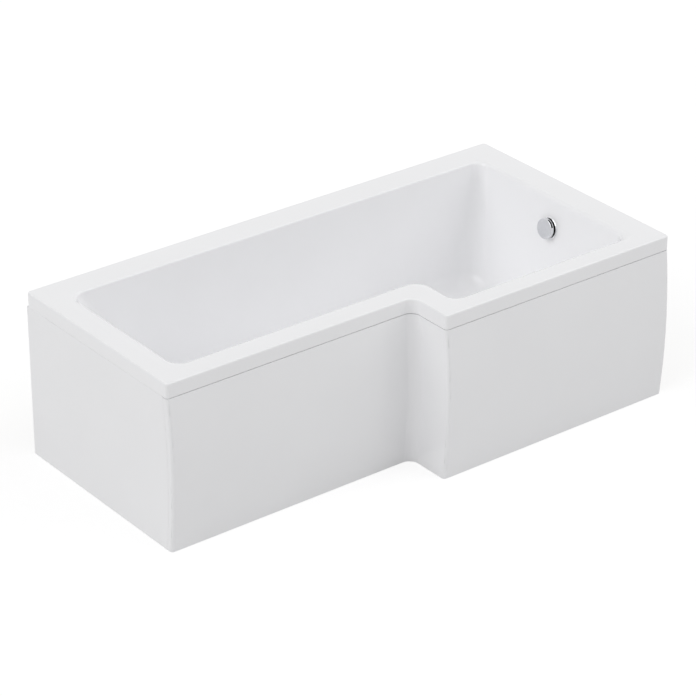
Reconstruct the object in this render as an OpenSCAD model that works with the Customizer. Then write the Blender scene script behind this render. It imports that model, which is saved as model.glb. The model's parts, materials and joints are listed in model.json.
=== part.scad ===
// Shower bath with a wide standing end and a narrow reclining end, stepped in plan like an L.
// A bowed front panel and a flat end panel close it in. It stands on cross rails with levelling feet,
// and a turning overflow knob lifts the plug of its waste.
// +Z is up. The origin is on the floor under the middle of the whole bath: the wall side faces +Y,
// the narrow end faces -X.

/* [Rim and panels] */
// Length over the rim
bath_l = 1700; // [1600:10:1800]
// Width over the rim at the wide end
wide_w = 850; // [820:10:880]
// Width over the rim at the narrow end
narrow_w = 700; // [670:10:730]
// Length of the wide end, from the step to its end wall
wide_l = 850; // [800:10:900]
// Height of the rim above the floor
rim_h = 531; // [520:1:545]
// Height of the turned-down lip
lip_h = 46; // [40:1:52]
// Radius of the rim's outer top edge
rim_edge_r = 7; // [4:1:9]
// How far the front panel bows out at half height
bow = 14; // [6:1:16]
// Shadow gap between the lip and the panels
seam = 2; // [1:0.5:4]
// Thickness of the panel sheet
panel_t = 4; // [3:0.5:5]

/* [Basin] */
// Thickness of the acrylic with its glass-fibre backing
shell_t = 6; // [5:0.5:7]
// Depth from the rim down to the floor of the basin
basin_d = 400; // [380:5:410]
// Lean of the backrest at the narrow end, from upright
backrest_lean = 25; // [18:1:30]
// Lean of the other walls, from upright
wall_lean = 5; // [3:1:8]
// Lean of the end wall that carries the overflow, from upright
tap_end_lean = 8; // [5:1:12]
// Fall of the basin's floor towards the waste
floor_fall = 5; // [2:1:8]

/* [Waste and overflow] */
// Distance of the waste from the middle of the bath
waste_x = 560; // [550:5:570]
// Distance of the overflow below the rim
overflow_drop = 96; // [90:1:110]
// Radius of the overflow knob's face
knob_r = 32; // [28:1:34]
// How far the plug lifts
plug_lift = 10; // [6:1:12]
// Outer diameter of the 1 1/2 inch pipe thread on the waste's tail
tail_d = 47.8; // [47:0.1:48]
// Corrugations of the overflow hose
hose_ribs = 76; // [50:1:90]

/* [Support] */
// Thickness of the board under the basin's floor
board_t = 18; // [16:1:20]
// Height of the cross rails
rail_h = 30; // [25:1:35]
// Diameter of the feet's threaded studs
stud_d = 10; // [8:2:12]
// Radius of a foot's pad
foot_r = 25; // [20:1:27]

/* [Hidden] */

$fn = 48;
e = 0.05; // clearance between parts that only touch

// The wall side, and the front of each end. The panel's bow counts in the whole width.
back_y = (wide_w + bow) / 2;
narrow_y = back_y - narrow_w;
wide_y = back_y - wide_w;
head_x = -bath_l / 2;
tap_x = bath_l / 2;
step_x = tap_x - wide_l;

lip_z = rim_h - lip_h;
under_rim_z = rim_h - shell_t;
floor_z = rim_h - basin_d;
board_top_z = floor_z - shell_t;
rail_top_z = board_top_z - board_t;

// An outline is six edge positions and six corner radii: left, narrow front, step, wide front, right
// and back edge, then the corners counter-clockwise from the narrow end's front corner.
outer_edges = [head_x, narrow_y, step_x, wide_y, tap_x, back_y];
outer_radii = [10, 32, 10, 10, 12, 12];

// The flat of the rim inside each edge, the roll into the basin, the wall's lean and the fillet to the
// floor, in the order of the edges.
land = [73, 62, 69, 52, 85, 92];
roll_r = [14, 25, 20, 25, 16, 6];
lean = [backrest_lean, wall_lean, wall_lean, wall_lean, tap_end_lean, wall_lean];
fillet_r = [110, 70, 60, 70, 60, 70];
basin_radii_top = [45, 45, 40, 40, 32, 45];
basin_radii_floor = [110, 55, 100, 90, 80, 110];

corner_start = [180, 90, 180, 270, 0, 90];
corner_turn = [90, -90, 90, 90, 90, 90];
corner_steps = 7;
roll_steps = 4;
fillet_steps = 7;
edge_steps = 3;

function inset(s, d) = [for (i = [0:5]) s[i] + (i < 4 ? d : -d)];
function inset_radii(r, d) = [for (i = [0:5]) i == 1 ? r[i] + d : max(r[i] - d, 1)];
function corner_centre(s, r, i) =
    i == 0 ? [s[0] + r[0], s[1] + r[0]]
    : i == 1 ? [s[2] - r[1], s[1] - r[1]]
    : i == 2 ? [s[2] + r[2], s[3] + r[2]]
    : i == 3 ? [s[4] - r[3], s[3] + r[3]]
    : i == 4 ? [s[4] - r[4], s[5] - r[4]]
    : [s[0] + r[5], s[5] - r[5]];

// One ring of the moulding: the outline's points. Round a corner the height passes from that of the edge
// before it to that of the edge after it.
function ring(s, r, z) = [
    for (i = [0:5], j = [0:corner_steps])
        let (
            a = corner_start[i] + corner_turn[i] * j / corner_steps,
            c = corner_centre(s, r, i),
            h = z[i] + (z[(i + 1) % 6] - z[i]) * j / corner_steps
        )
        [c[0] + r[i] * cos(a), c[1] + r[i] * sin(a), h]
];

// Section through one edge of the basin: roll, leaning wall and fillet, as [inward, height] points.
function section(r1, a, r2, top, bottom) =
    let (
        u1 = r1 * cos(a),
        z1 = top - r1 * (1 - sin(a)),
        z2 = bottom + r2 * (1 - sin(a)),
        u2 = u1 + (z1 - z2) * tan(a)
    )
    concat(
        [for (i = [0:roll_steps]) let (t = (90 - a) * i / roll_steps)
            [r1 * sin(t), top - r1 + r1 * cos(t)]],
        [[(u1 + u2) / 2, (z1 + z2) / 2]],
        [for (i = [0:fillet_steps]) let (t = (90 - a) * (1 - i / fillet_steps))
            [u2 + r2 * cos(a) - r2 * sin(t), bottom + r2 - r2 * cos(t)]]
    );
section_points = roll_steps + fillet_steps + 3;

// The basin's rings from the rim down to the floor, t outside its inner face.
function basin_rings(t) =
    let (
        sections = [for (i = [0:5])
            section(max(roll_r[i] - t, 2), lean[i], fillet_r[i] + t, rim_h - t, floor_z - t)],
        shift = [for (i = [0:5]) t + max(roll_r[i] - t, 2) - roll_r[i]]
    )
    [for (k = [0:section_points - 1])
        let (
            f = k / (section_points - 1),
            u = [for (i = [0:5]) land[i] - shift[i] + sections[i][k][0]],
            z = [for (i = [0:5]) sections[i][k][1]],
            s = [for (i = [0:5]) outer_edges[i] + (i < 4 ? u[i] : -u[i])],
            r = [for (i = [0:5]) (1 - f) * basin_radii_top[i] + f * basin_radii_floor[i] + (i == 1 ? -t : t)]
        )
        ring(s, r, z)];

// The floor falls towards the waste: the inner face is raised more the further it is from the tap end.
fall_end_x = tap_x - land[4] - 120;
fall_l = fall_end_x - head_x - land[0];
function fallen(p) = [p[0], p[1],
    p[2] + floor_fall * max(0, (fall_end_x - p[0]) / fall_l) * (rim_h - p[2]) / basin_d];

function level(z) = [z, z, z, z, z, z];
function outer_ring(d, z) = ring(inset(outer_edges, d), inset_radii(outer_radii, d), level(z));
function reversed(v) = [for (i = [len(v) - 1:-1:0]) v[i]];

module loft(rings) {
    n = len(rings[0]);
    count = len(rings);
    polyhedron(
        points = [for (r = rings, p = r) p],
        faces = concat(
            [[for (j = [0:n - 1]) j]],
            [for (i = [0:count - 2], j = [0:n - 1]) let (k = (j + 1) % n)
                [i * n + j, (i + 1) * n + j, (i + 1) * n + k]],
            [for (i = [0:count - 2], j = [0:n - 1]) let (k = (j + 1) % n)
                [i * n + j, (i + 1) * n + k, i * n + k]],
            [[for (j = [n - 1:-1:0]) (count - 1) * n + j]]
        ),
        convexity = 12
    );
}

// ---------- flat outlines with true arcs ----------
module rounded_ell(s, r) {
    difference() {
        polygon([[s[0], s[1]], [s[2], s[1]], [s[2], s[3]], [s[4], s[3]], [s[4], s[5]], [s[0], s[5]]]);
        for (i = [0, 2, 3, 4, 5])
            let (c = corner_centre(s, r, i), m = corner_start[i] + 45)
            translate(c)
                difference() {
                    translate([cos(m) > 0 ? 0 : -r[i] - 1, sin(m) > 0 ? 0 : -r[i] - 1])
                        square(r[i] + 1);
                    circle(r[i]);
                }
    }
    translate(corner_centre(s, r, 1))
        difference() {
            square(r[1]);
            circle(r[1]);
        }
}

// A strip along the outline, from d1 to d2 inside it.
module band(s, r, d1, d2) {
    difference() {
        rounded_ell(inset(s, d1), inset_radii(r, d1));
        rounded_ell(inset(s, d2), inset_radii(r, d2));
    }
}

module rounded_square(x0, y0, x1, y1, r) {
    translate([x0 + r, y0]) square([x1 - x0 - 2 * r, y1 - y0]);
    translate([x0, y0 + r]) square([x1 - x0, y1 - y0 - 2 * r]);
    for (x = [x0 + r, x1 - r], y = [y0 + r, y1 - r]) translate([x, y]) circle(r);
}

// ---------- bath shell ----------
waste_y = (wide_y + land[3] + back_y - land[5]) / 2;
waste_hole_r = 26;
recess_r = 38;
recess_z = floor_z - 2.5;
overflow_hole_r = 26;

// Section of the wall behind the overflow, at the height of its middle.
overflow_z = rim_h - overflow_drop;
overflow_x = tap_x - land[4] - roll_r[4] * cos(tap_end_lean)
    - (overflow_drop - roll_r[4] * (1 - sin(tap_end_lean))) * tan(tap_end_lean);

// Places what is drawn along +Z on the overflow's axis, from the wall's face into the basin.
module at_overflow() {
    translate([overflow_x, waste_y, overflow_z]) rotate([0, tap_end_lean - 90, 0]) children();
}

module at_waste() {
    translate([waste_x, waste_y, 0]) children();
}

module bath_shell() {
    outside = basin_rings(shell_t);
    inside = [for (r = basin_rings(0)) [for (p = r) fallen(p)]];
    color("white")
        difference() {
            loft(concat(
                reversed(outside),
                [
                    outer_ring(shell_t + 4, under_rim_z),
                    outer_ring(shell_t, under_rim_z - 4),
                    outer_ring(shell_t, lip_z),
                    outer_ring(0, lip_z)
                ],
                [for (i = [0:edge_steps]) let (t = 90 * i / edge_steps)
                    outer_ring(rim_edge_r * (1 - cos(t)), rim_h - rim_edge_r * (1 - sin(t)))],
                inside
            ));
            at_waste() translate([0, 0, board_top_z - 1]) cylinder(r = waste_hole_r, h = 20);
            at_waste() translate([0, 0, recess_z]) cylinder(r = recess_r, h = 20);
            at_overflow() translate([0, 0, -20]) cylinder(r = overflow_hole_r, h = 40);
        }
}

// ---------- board and battens under the shell ----------
board_head_x = -490;
board_tap_x = 610;
board_back_y = back_y - 205;
board_narrow_y = narrow_y + 190;
board_wide_y = wide_y + 180;
board_step_x = step_x + 175;
cut_w = 150;
cut_head_x = waste_x - 62;

module base_board() {
    color("burlywood")
        translate([0, 0, rail_top_z])
            difference() {
                linear_extrude(board_t)
                    difference() {
                        union() {
                            rounded_square(board_head_x, board_narrow_y, board_tap_x, board_back_y, 40);
                            rounded_square(board_step_x, board_wide_y, board_tap_x, board_back_y, 40);
                        }
                        translate([cut_head_x, waste_y - cut_w / 2]) square([300, cut_w]);
                    }
                translate([centre_foot[0], centre_foot[1], -1]) cylinder(r = 8, h = board_t + 2);
                for (p = board_screw_places)
                    translate([p[0], p[1], -1]) cylinder(r = screw_hole_r, h = screw_l);
            }
}

batten_t = 18;
batten_z = under_rim_z - batten_t;
module rim_batten(x0, y0, x1, y1) {
    color("peru")
        difference() {
            translate([x0, y0, batten_z]) cube([x1 - x0, y1 - y0, batten_t]);
            at_bracket_screws() translate([0, 0, -1]) cylinder(r = screw_hole_r, h = screw_l);
        }
}

// Each batten lies under the flat of its own edge, clear of the lip's inner fillet and of the basin.
lip_clear = 14;
basin_clear = [5, 4, 0, 4, 5, 12];
module rim_batten_back() {
    rim_batten(head_x + 100, back_y - land[5] + basin_clear[5], tap_x - 110, back_y - lip_clear);
}
module rim_batten_tap_end() {
    rim_batten(tap_x - land[4] + basin_clear[4], wide_y + 110, tap_x - lip_clear, back_y - 110);
}
module rim_batten_head_end() {
    rim_batten(head_x + lip_clear, narrow_y + 110, head_x + land[0] - basin_clear[0], back_y - 110);
}
module rim_batten_narrow_front() {
    rim_batten(head_x + 110, narrow_y + lip_clear, step_x - 60, narrow_y + land[1] - basin_clear[1]);
}
module rim_batten_wide_front() {
    rim_batten(step_x + 100, wide_y + lip_clear, tap_x - 110, wide_y + land[3] - basin_clear[3]);
}

// ---------- cross rails and levelling feet ----------
// Each rail: where it crosses the bath, its front foot and its back foot.
rail_w = 40;
rail_wall = 2.5;
back_foot_y = back_y - 86;
rails = [
    [-460, narrow_y + 84, back_foot_y],
    [140, wide_y + 84, back_foot_y],
    [440, wide_y + 84, back_foot_y]
];
centre_foot = [-175, (board_narrow_y + board_back_y) / 2];
feet = concat(
    [for (r = rails, y = [r[1], r[2]]) [r[0], y]],
    [centre_foot]
);
rail_screw_places = [for (r = rails, y = [board_narrow_y + 60, board_back_y - 60]) [r[0], y]];
plate_screw_places = [for (x = [-28, 28], y = [-28, 28]) centre_foot + [x, y]];
board_screw_places = concat(rail_screw_places, plate_screw_places);
screw_hole_r = 2.4;
screw_l = 14;
stud_r = stud_d / 2;
web_z = rail_top_z - rail_wall;

module cross_rail(k) {
    r = rails[k];
    x = r[0];
    y0 = r[1] - 32;
    y1 = r[2] + 32;
    color("gainsboro")
        difference() {
            translate([x - rail_w / 2, y0, rail_top_z - rail_h]) cube([rail_w, y1 - y0, rail_h]);
            translate([x - rail_w / 2 + rail_wall, y0 - 1, rail_top_z - rail_h - 1])
                cube([rail_w - 2 * rail_wall, y1 - y0 + 2, rail_h + 1 - rail_wall]);
            for (y = [r[1], r[2]])
                translate([x, y, web_z - 1]) cylinder(r = stud_r + 0.5, h = rail_wall + 2);
            for (p = rail_screw_places)
                if (p[0] == x)
                    translate([x, p[1], web_z - 1]) cylinder(r = screw_hole_r, h = rail_wall + 2);
        }
}

plate_side = 76;
module centre_plate() {
    half = plate_side / 2;
    color("gainsboro")
        translate([0, 0, web_z])
            difference() {
                translate(centre_foot) linear_extrude(rail_wall) rounded_square(-half, -half, half, half, 8);
                translate([centre_foot[0], centre_foot[1], -1]) cylinder(r = stud_r + 0.5, h = rail_wall + 2);
                for (p = plate_screw_places)
                    translate([p[0], p[1], -1]) cylinder(r = screw_hole_r, h = rail_wall + 2);
            }
}

// Domed head under the steel, shank up into the wood.
module wood_screw() {
    rotate_extrude() polygon([[0, -3], [3, -2.6], [5, 0], [2.2, 0], [2.2, screw_l - 2], [0, screw_l]]);
}

module rail_screws() {
    color("goldenrod")
        for (p = board_screw_places) translate([p[0], p[1], web_z - e]) wood_screw();
}

nut_af = 17;
nut_h = 8;
module hex_nut() {
    difference() {
        intersection() {
            cylinder(d = nut_af / cos(30), h = nut_h, $fn = 6);
            rotate_extrude()
                polygon([[0, 0], [nut_af / 2 - 0.4, 0], [nut_af / 2 + 1.3, 1], [nut_af / 2 + 1.3, nut_h - 1],
                    [nut_af / 2 - 0.4, nut_h], [0, nut_h]]);
        }
        translate([0, 0, -1]) cylinder(r = stud_r + e, h = nut_h + 2);
    }
}

module leg_nuts() {
    color("silver") {
        for (p = feet) translate([p[0], p[1], web_z - nut_h]) hex_nut();
        for (i = [0:5]) translate([feet[i][0], feet[i][1], rail_top_z]) hex_nut();
    }
}

// A moulded pad with a ribbed neck, and a socket for the stud.
neck_r = 9.5;
neck_z = 30;
pad_z = 7;
socket_z = 8;
module foot(k) {
    color("dimgray")
        translate([feet[k][0], feet[k][1], 0])
            difference() {
                union() {
                    rotate_extrude()
                        polygon([[0, 0], [foot_r - 1.5, 0], [foot_r, 1.5], [foot_r, pad_z - 1.5],
                            [foot_r - 1.5, pad_z], [neck_r + 3, pad_z], [neck_r, pad_z + 3],
                            [neck_r, neck_z - 1], [neck_r - 1, neck_z], [0, neck_z]]);
                    for (a = [0:60:300])
                        rotate([90, 0, a])
                            translate([0, 0, -1.25])
                                linear_extrude(2.5)
                                    polygon([[neck_r - 1, pad_z - 1], [foot_r - 2, pad_z - 1],
                                        [foot_r - 2, pad_z + 1], [neck_r - 1, neck_z - 4]]);
                }
                translate([0, 0, socket_z]) cylinder(r = stud_r + e, h = neck_z);
            }
}

// The middle stud ends inside the board, the others stand clear above their rails.
function stud_top(k) = k == 6 ? board_top_z - 12 : rail_top_z + 45;
module stud(k) {
    color("silver")
        translate([feet[k][0], feet[k][1], socket_z])
            rotate_extrude()
                polygon([[0, 0], [stud_r - 1, 0], [stud_r, 1], [stud_r, stud_top(k) - socket_z - 1],
                    [stud_r - 1, stud_top(k) - socket_z], [0, stud_top(k) - socket_z]]);
}

// ---------- wall brackets ----------
bracket_w = 32;
bracket_t = 2;
bracket_drop = 46;
bracket_pitch = 20;
bracket_hole_r = 2.75;
bracket_riser_y = 26;
bracket_leg = 42;
bracket_end = 10;

// Drawn with the wall at y = 0 and the bath on the -Y side: up under the batten, below the lip, and
// down the wall.
module wall_bracket() {
    z1 = lip_z - 4;
    z0 = z1 - bracket_drop;
    color("gainsboro")
        difference() {
            union() {
                translate([-bracket_w / 2, bracket_t - bracket_riser_y - bracket_leg, batten_z - bracket_t])
                    cube([bracket_w, bracket_leg, bracket_t]);
                translate([-bracket_w / 2, -bracket_riser_y, z1 - bracket_t])
                    cube([bracket_w, bracket_t, batten_z - z1 + bracket_t]);
                translate([-bracket_w / 2, -bracket_riser_y, z1 - bracket_t])
                    cube([bracket_w, bracket_riser_y, bracket_t]);
                translate([-bracket_w / 2, -bracket_t, z0]) cube([bracket_w, bracket_t, z1 - z0]);
            }
            for (i = [0, 1])
                translate([0, 1, z0 + bracket_end + i * bracket_pitch])
                    rotate([90, 0, 0]) cylinder(r = bracket_hole_r, h = bracket_t + 2);
            for (x = bracket_screw_x)
                translate([x, -bracket_screw_y, batten_z - bracket_t - 1])
                    cylinder(r = screw_hole_r, h = bracket_t + 2);
        }
}

module at_bracket(k) {
    if (k < 3) translate([[-560, 0, 560][k], back_y, 0]) children();
    else translate([tap_x, waste_y + 190, 0]) rotate([0, 0, -90]) children();
}

// The screws up through the brackets' legs, from the underside of the battens.
bracket_screw_x = [-9, 9];
bracket_screw_y = 46;
module at_bracket_screws() {
    for (k = [0:3], x = bracket_screw_x) at_bracket(k) translate([x, -bracket_screw_y, batten_z]) children();
}

module bracket_screws() {
    color("goldenrod") at_bracket_screws() translate([0, 0, -bracket_t - e]) wood_screw();
}

// ---------- panels ----------
panel_h = lip_z - seam;
bow_r = (pow(panel_h / 2, 2) + pow(bow, 2)) / (2 * bow);
bow_y = wide_y - bow + bow_r;
// Where a line of the panel at y passes at half height, on its own arc.
function bowed(y) = bow_y - sqrt(pow(bow_y - y, 2) + pow(panel_h / 2, 2));
mid_edges = [head_x, bowed(narrow_y), step_x, bowed(wide_y), tap_x, back_y];
return_w = 20;
joint_gap = 0.6;

// Sweeps a plan outline along the panel's bow, which is an arc about a far line parallel to X. inner_y is
// the line of the outline that lies nearest to it.
module bow_sweep(inner_y) {
    angle = asin(panel_h / 2 / (bow_y - inner_y)) + 0.5;
    intersection() {
        multmatrix([[0, 0, 1, 0], [-1, 0, 0, bow_y], [0, -1, 0, panel_h / 2], [0, 0, 0, 1]])
            rotate([0, 0, -angle])
                rotate_extrude(angle = 2 * angle, $fn = 360)
                    translate([bow_y, 0]) rotate(90) children();
        translate([head_x - 50, wide_y - 50, 0]) cube([bath_l + 100, wide_w + 50, panel_h]);
    }
}

// The part of the plan that belongs to the front panel, with its short returns round both ends.
module front_zone(s) {
    y1 = s[1] + return_w;
    y2 = s[3] + return_w;
    x = s[2] + 60;
    polygon([[s[0] - 50, s[3] - 50], [s[4] + 50, s[3] - 50], [s[4] + 50, y2], [x, y2], [x, y1],
        [s[0] - 50, y1]]);
}

tongue_out = shell_t + 1;
tongue_in = tongue_out + panel_t;
tongue_h = 20;
foot_return = 22;

module panel_flats() {
    // Ledge below the lip, the tongue that stands behind it, and the flange on the floor.
    translate([0, 0, panel_h - panel_t]) linear_extrude(panel_t) children(0);
    translate([0, 0, panel_h - 1]) linear_extrude(tongue_h + 1) children(1);
    linear_extrude(panel_t) children(2);
}

module front_panel() {
    color("whitesmoke") {
        bow_sweep(mid_edges[1] + return_w)
            intersection() {
                band(mid_edges, outer_radii, 0, panel_t);
                front_zone(mid_edges);
            }
        panel_flats() {
            intersection() {
                band(outer_edges, outer_radii, 1, tongue_in);
                front_zone(outer_edges);
            }
            intersection() {
                band(outer_edges, outer_radii, tongue_out, tongue_in);
                front_zone(outer_edges);
            }
            intersection() {
                band(outer_edges, outer_radii, 1, foot_return);
                front_zone(outer_edges);
            }
        }
    }
}

module end_panel() {
    y0 = narrow_y + return_w + joint_gap;
    color("whitesmoke") {
        bow_sweep(back_y)
            translate([head_x, bowed(narrow_y) + return_w + joint_gap]) square([panel_t, narrow_w + 60]);
        panel_flats() {
            translate([head_x + 1, y0]) square([tongue_in - 1, back_y - y0]);
            translate([head_x + tongue_out, y0]) square([panel_t, back_y - y0 - 2 * tongue_out]);
            translate([head_x + 1, y0 + 4]) square([foot_return - 1, back_y - y0 - 4]);
        }
        translate([head_x + 1, back_y - panel_t, 0]) cube([foot_return - 1, panel_t, panel_h]);
    }
}

// Spring clips under the rim battens hold the panels' tongues against the lip. Each place is a point
// on the outer edge and the turn that brings that edge's inward side to +Y.
top_clip_places = [
    [-620, narrow_y, 0], [-200, narrow_y, 0], [220, wide_y, 0], [660, wide_y, 0],
    [head_x, 250, -90], [head_x, -60, -90]
];
clip_w = 24;
clip_t = 1.2;
module panel_top_clips() {
    color("silver")
        for (p = top_clip_places)
            translate([p[0], p[1], 0]) rotate([0, 0, p[2]]) {
                translate([-clip_w / 2, tongue_in + 0.2, batten_z - clip_t]) cube([clip_w, 24, clip_t]);
                translate([-clip_w / 2, tongue_in + 0.2, batten_z - 26]) cube([clip_w, clip_t, 26]);
            }
}

// Battens on the floor behind the panels, and clips from them down onto the panels' floor flanges.
floor_batten_w = 25;
floor_batten_in = foot_return + 2;
module floor_batten(x0, y0, x1, y1) {
    color("peru") translate([x0, y0, 0]) cube([x1 - x0, y1 - y0, floor_batten_w]);
}
module floor_batten_narrow() {
    y = narrow_y + floor_batten_in;
    floor_batten(head_x + 60, y, step_x - 20, y + floor_batten_w);
}
module floor_batten_wide() {
    y = wide_y + floor_batten_in;
    floor_batten(step_x + 40, y, tap_x - 40, y + floor_batten_w);
}
module floor_batten_head_end() {
    x = head_x + floor_batten_in;
    floor_batten(x, narrow_y + 70, x + floor_batten_w, back_y - 40);
}

module panel_floor_clips() {
    color("silver")
        for (p = top_clip_places)
            translate([p[0], p[1], 0]) rotate([0, 0, p[2]]) {
                translate([-clip_w / 2, floor_batten_in - clip_t, floor_batten_w]) cube([clip_w, 18, clip_t]);
                translate([-clip_w / 2, floor_batten_in - clip_t - e, panel_t + e])
                    cube([clip_w, clip_t, floor_batten_w - panel_t - e + clip_t]);
                translate([-clip_w / 2, 10, panel_t + e]) cube([clip_w, floor_batten_in - 10 - e, clip_t]);
            }
}

// ---------- overflow ----------
knob_gap = 6;
knob_face_z = 21;
spigot_r = 5;
module overflow_knob() {
    // A hollow chrome cap with a grooved side, a wider foot ring and a spigot into the overflow body.
    color("silver")
        at_overflow()
            rotate_extrude($fn = 96)
                polygon([
                    [0, knob_face_z], [knob_r - 1.6, knob_face_z], [knob_r - 0.5, knob_face_z - 0.5],
                    [knob_r, knob_face_z - 1.6], [knob_r, 13.6], [knob_r - 1.4, 13], [knob_r - 1.4, 12],
                    [knob_r + 2.6, 11.4], [knob_r + 3.6, 10.4], [knob_r + 3.6, knob_gap + 0.6],
                    [knob_r + 3, knob_gap], [knob_r - 2, knob_gap], [knob_r - 4, knob_gap + 3],
                    [knob_r - 4, knob_face_z - 3], [8, knob_face_z - 3], [8, 2],
                    [spigot_r, 2], [spigot_r, -26], [spigot_r - 1, -27], [0, -27]
                ]);
}

ring_hub_r = 9;
module overflow_ring() {
    // Ring on the wall with three arms to the hub that the knob's spigot turns in. Water runs between.
    color("silver")
        at_overflow()
            translate([0, 0, e])
                difference() {
                    union() {
                        rotate_extrude($fn = 96)
                            polygon([[21.5, -22], [23.8, -22], [23.8, 0], [33, 0], [33, 1.2], [31.5, 2.4],
                                [22.6, 2.4], [21.5, 1.4]]);
                        intersection() {
                            for (a = [90:120:330])
                                rotate([0, 0, a]) translate([0, -2, -8]) cube([23, 4, 9]);
                            translate([0, 0, -10]) cylinder(r = 22.6, h = 20);
                        }
                        translate([0, 0, -8]) cylinder(r = ring_hub_r, h = 9);
                    }
                    translate([0, 0, -30]) cylinder(r = spigot_r + 0.06, h = 60);
                }
}

seal_t = 3;
wall_back = -shell_t;
module overflow_seal() {
    color("dimgray")
        at_overflow()
            translate([0, 0, wall_back - seal_t - e])
                difference() {
                    cylinder(r = 37, h = seal_t);
                    translate([0, 0, -1]) cylinder(r = overflow_hole_r, h = seal_t + 2);
                }
}

// The body behind the wall: a flanged drum with a pipe straight down to the hose.
body_z = wall_back - seal_t - 2 * e;
drum_l = 42;
pipe_r = 16;
pipe_bore = 13;
outlet_x = overflow_x + cos(tap_end_lean) * 30;
outlet_z = overflow_z - 52;
module overflow_body() {
    color("darkgray")
        difference() {
            union() {
                at_overflow() {
                    translate([0, 0, body_z - 4]) cylinder(r = 38, h = 4);
                    translate([0, 0, body_z - drum_l]) cylinder(r = 27.5, h = drum_l);
                    translate([0, 0, body_z - drum_l - 5]) cylinder(r = 12, h = 6);
                }
                translate([outlet_x, waste_y, outlet_z]) cylinder(r = pipe_r, h = 40);
                translate([outlet_x, cable_y, cable_top_z]) cylinder(r = 5, h = 34);
            }
            at_overflow() translate([0, 0, body_z - drum_l + 3]) cylinder(r = 24, h = drum_l + 10);
            at_overflow() translate([0, 0, body_z - drum_l - 2]) cylinder(r = spigot_r + 0.4, h = 10);
            translate([outlet_x, waste_y, outlet_z - 1]) cylinder(r = pipe_bore, h = 40);
            translate([outlet_x, cable_y, cable_top_z - 1]) cylinder(r = 1.2, h = 20);
        }
}

// ---------- waste ----------
inlet_z = 92;
inlet_x = waste_x + 54;
body_top_z = board_top_z - seal_t;
body_r = 29;
body_bottom_z = 66;
tail_z = 46;
tail_r = tail_d / 2;

module waste_flange() {
    color("silver")
        at_waste() {
            rotate_extrude($fn = 96)
                polygon([[22, 100], [24, 100], [24, recess_z + e], [35.5, recess_z + e], [35.5, recess_z + 1],
                    [34.5, recess_z + 1.8], [31, recess_z + 2], [25, recess_z + 1.2], [22.8, recess_z + 0.2],
                    [22, recess_z - 1]]);
            difference() {
                union() {
                    translate([0, 0, 104]) cylinder(r = 7, h = 12);
                    intersection() {
                        for (a = [0:120:240])
                            rotate([0, 0, a + 60]) translate([0, -1.6, 104]) cube([24, 3.2, 8]);
                        translate([0, 0, 100]) cylinder(r = 23, h = 20);
                    }
                }
                translate([0, 0, 100]) cylinder(r = 4.06, h = 30);
            }
        }
}

module waste_seal() {
    color("dimgray")
        at_waste()
            translate([0, 0, body_top_z + e])
                difference() {
                    cylinder(r = 36, h = seal_t - 2 * e);
                    translate([0, 0, -1]) cylinder(r = 26.5, h = seal_t + 2);
                }
}

lever_z = 82;
lever_arm = 14;
lever_swing = 2 * asin(plug_lift / 2 / lever_arm);
module waste_body() {
    color("darkgray")
        difference() {
            union() {
                at_waste() {
                    rotate_extrude($fn = 96)
                        polygon([[0, tail_z], [tail_r, tail_z], [tail_r, body_bottom_z],
                            [body_r, body_bottom_z + 4], [body_r, body_top_z - 10], [37, body_top_z - 4],
                            [37, body_top_z], [0, body_top_z]]);
                    translate([-lever_arm, -body_r - 9, lever_z]) rotate([-90, 0, 0]) cylinder(r = 6, h = 20);
                }
                translate([waste_x, waste_y, inlet_z])
                    rotate([0, 90, 0]) cylinder(r = pipe_r, h = inlet_x - waste_x);
                translate([waste_x, cable_y, inlet_z])
                    rotate([0, 90, 0]) cylinder(r = 5, h = cable_end_x - waste_x);
            }
            at_waste() {
                translate([0, 0, body_bottom_z + 6]) cylinder(r = 24.2, h = 80);
                translate([0, 0, tail_z - 1]) cylinder(r = 20, h = 60);
                translate([-lever_arm, -body_r - 6, lever_z]) rotate([-90, 0, 0]) cylinder(r = 1.6, h = 60);
            }
            translate([waste_x, waste_y, inlet_z])
                rotate([0, 90, 0]) cylinder(r = pipe_bore, h = inlet_x - waste_x + 1);
            translate([waste_x + 15, cable_y, inlet_z])
                rotate([0, 90, 0]) cylinder(r = 1.2, h = cable_end_x - waste_x);
        }
}

plug_r = 29;
plug_z = recess_z + 3.6;
stem_bottom = lever_z - plug_lift / 2 + 2.5 + 0.5;
module waste_plug() {
    // Domed chrome plug with a stem down through the flange's hub.
    color("silver")
        at_waste()
            rotate_extrude($fn = 96)
                polygon([[0, stem_bottom], [1.5, stem_bottom], [4, stem_bottom + 4], [4, plug_z - 4],
                    [20, plug_z - 4], [20, plug_z], [plug_r, plug_z], [plug_r + 0.6, plug_z + 0.8],
                    [plug_r, plug_z + 2], [24, plug_z + 3.6], [16, plug_z + 4.8], [8, plug_z + 5.4],
                    [0, plug_z + 5.6]]);
}

module plug_seal() {
    color("black")
        at_waste()
            rotate_extrude($fn = 96)
                polygon([[20.05, plug_z - 3.2], [21.4, plug_z - 3.2], [25.5, plug_z - 1.4],
                    [25.5, plug_z - 0.1], [20.05, plug_z - 0.1]]);
}

// The lever swings the plug's stem up. It lies lever_swing / 2 below level at rest.
module lift_lever() {
    color("orange")
        translate([waste_x - lever_arm, waste_y, lever_z])
            rotate([0, lever_swing / 2, 0])
                difference() {
                    union() {
                        rotate([90, 0, 0]) translate([0, 0, -4]) cylinder(r = 4, h = 8);
                        translate([0, -2.5, -2.2]) cube([lever_arm, 5, 4.4]);
                        translate([lever_arm, 0, 0]) rotate([90, 0, 0]) translate([0, 0, -3])
                            cylinder(r = 2.5, h = 6);
                    }
                    rotate([90, 0, 0]) translate([0, 0, -6]) cylinder(r = 1.56, h = 12);
                }
}

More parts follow.
